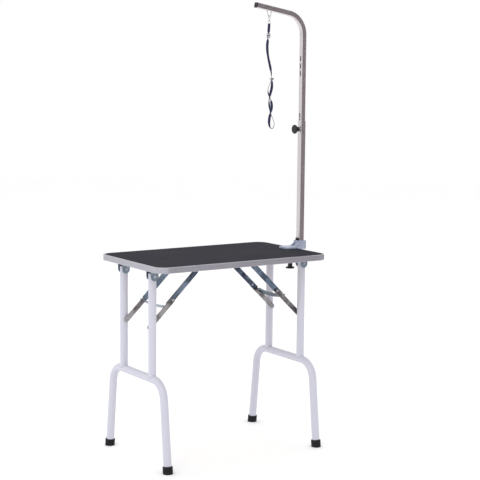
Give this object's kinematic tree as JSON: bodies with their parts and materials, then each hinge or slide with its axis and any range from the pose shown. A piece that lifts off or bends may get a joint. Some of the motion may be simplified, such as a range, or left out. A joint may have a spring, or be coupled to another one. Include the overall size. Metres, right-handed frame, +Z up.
{
  "type": "grooming table",
  "caption": "Folding pet grooming table: rubber-matted top, tubular leg frames with folding braces, clamp-on post, height-adjustable bent arm and hanging noose.",
  "frame": {"origin": "middle of the whole footprint, on the floor that the four feet stand on (28.25 mm from the middle of the table top along X, because the clamp sticks out past one end)", "axes": "+X along the table towards the end that carries the clamp and post; +Y across the table; +Z up"},
  "size_m": [0.8666, 0.5166, 1.8367],
  "materials": {
    "board": "dull",
    "mat": "matt, fine texture",
    "trim": "satin",
    "zinc": "zinc plated",
    "white_paint": "gloss powder coat",
    "foot_rubber": "matt",
    "black_plastic": "satin",
    "clamp_paint": "rough cast, painted",
    "plated_steel": "plated",
    "chrome": "bright",
    "bright_wire": "bright",
    "webbing": "woven"
  },
  "bodies": {
    "table": {"table_board": "board", "rubber_mat": "mat", "edge_trim": "trim", "bracket_screws": "zinc", "left_hinge_brackets": "zinc", "right_hinge_brackets": "zinc", "left_hinge_pins": "zinc", "right_hinge_pins": "zinc", "left_brace_lugs": "zinc", "right_brace_lugs": "zinc", "left_lug_pins": "zinc", "right_lug_pins": "zinc", "clamp_body": "clamp_paint", "set_screw": "plated_steel", "post_wedge": "black_plastic", "post_tube": "chrome", "post_bush": "plated_steel", "post_boss": "plated_steel"},
    "left_legs": {"left_uprights": "white_paint", "left_hoop": "white_paint", "left_tube_plugs": "black_plastic", "left_foot_caps": "foot_rubber", "left_pivot_bosses": "zinc"},
    "left_upper_brace": {"left_upper_arms": "zinc", "left_knee_rivets": "zinc"},
    "left_lower_brace": {"left_lower_arms": "zinc", "left_arm_rivets": "zinc", "left_release_bar": "zinc"},
    "right_legs": {"right_uprights": "white_paint", "right_hoop": "white_paint", "right_tube_plugs": "black_plastic", "right_foot_caps": "foot_rubber", "right_pivot_bosses": "zinc"},
    "right_upper_brace": {"right_upper_arms": "zinc", "right_knee_rivets": "zinc"},
    "right_lower_brace": {"right_lower_arms": "zinc", "right_arm_rivets": "zinc", "right_release_bar": "zinc"},
    "pad": {"clamp_pad": "plated_steel"},
    "clamp_knob": {"clamp_screw": "plated_steel", "clamp_knob": "black_plastic"},
    "post_knob": {"post_knob": "black_plastic", "post_knob_screw": "plated_steel"},
    "arm": {"arm_tube": "chrome", "arm_cap": "black_plastic", "arm_eye": "bright_wire"},
    "hook": {"hook_body": "bright_wire"},
    "gate": {"hook_gate": "bright_wire"},
    "noose": {"swivel_ring": "bright_wire", "noose_strap": "webbing", "strap_slider": "bright_wire", "noose_lock": "bright_wire"}
  },
  "joints": [
    {"name": "left_leg_fold", "type": "hinge", "parent": "table", "child": "left_legs", "pos_m": [-0.38825, 0, 0.76], "axis": [0, -1, 0], "range_deg": [0, 90]},
    {"name": "left_upper_brace_turn", "type": "hinge", "parent": "table", "child": "left_upper_brace", "pos_m": [-0.17225, 0, 0.76], "axis": [0, -1, 0], "range_deg": [-43.69, 0]},
    {"name": "left_brace_knee", "type": "hinge", "parent": "left_upper_brace", "child": "left_lower_brace", "pos_m": [-0.28387, 0, 0.65355], "axis": [0, -1, 0], "range_deg": [0, 180.05]},
    {"name": "right_leg_fold", "type": "hinge", "parent": "table", "child": "right_legs", "pos_m": [0.33175, 0, 0.76], "axis": [0, 1, 0], "range_deg": [0, 83]},
    {"name": "right_upper_brace_turn", "type": "hinge", "parent": "table", "child": "right_upper_brace", "pos_m": [0.10575, 0, 0.76], "axis": [0, 1, 0], "range_deg": [-42.08, 0]},
    {"name": "right_brace_knee", "type": "hinge", "parent": "right_upper_brace", "child": "right_lower_brace", "pos_m": [0.22311, 0, 0.64887], "axis": [0, 1, 0], "range_deg": [0, 170.14]},
    {"name": "clamp_pad_travel", "type": "slide", "parent": "table", "child": "pad", "axis": [0, 0, 1], "range_m": [-0.009, 0]},
    {"name": "clamp_knob_turn", "type": "hinge", "parent": "pad", "child": "clamp_knob", "pos_m": [0.35675, 0, 0.745], "axis": [0, 0, 1], "range_deg": [-2172, 0]},
    {"name": "post_knob_turn", "type": "hinge", "parent": "table", "child": "post_knob", "pos_m": [0.38975, 0, 1.315], "axis": [-1, 0, 0], "range_deg": [0, 720]},
    {"name": "arm_height", "type": "slide", "parent": "table", "child": "arm", "axis": [0, 0, 1], "range_m": [-0.35, 0.06]},
    {"name": "hook_swing", "type": "hinge", "parent": "arm", "child": "hook", "pos_m": [0.23175, 0, 1.781], "axis": [1, 0, 0], "range_deg": [-60, 60]},
    {"name": "gate_snap", "type": "hinge", "parent": "hook", "child": "gate", "pos_m": [0.23175, -0.005, 1.7762], "axis": [-1, 0, 0], "range_deg": [0, 14], "stiffness_Nm_per_rad": 0.002, "springref_deg": -5.73},
    {"name": "strap_swivel", "type": "hinge", "parent": "hook", "child": "noose", "pos_m": [0.23175, 0, 1.766], "axis": [0, 0, 1], "continuous": true}
  ],
  "couplings": [
    {"joint": "left_upper_brace_turn", "follows": "left_leg_fold", "ratio": -0.48492},
    {"joint": "left_brace_knee", "follows": "left_leg_fold", "ratio": 2},
    {"joint": "right_upper_brace_turn", "follows": "right_leg_fold", "ratio": -0.50642},
    {"joint": "right_brace_knee", "follows": "right_leg_fold", "ratio": 2.0493},
    {"joint": "clamp_knob_turn", "follows": "clamp_pad_travel", "rad_per_m": 4188.8}
  ]
}
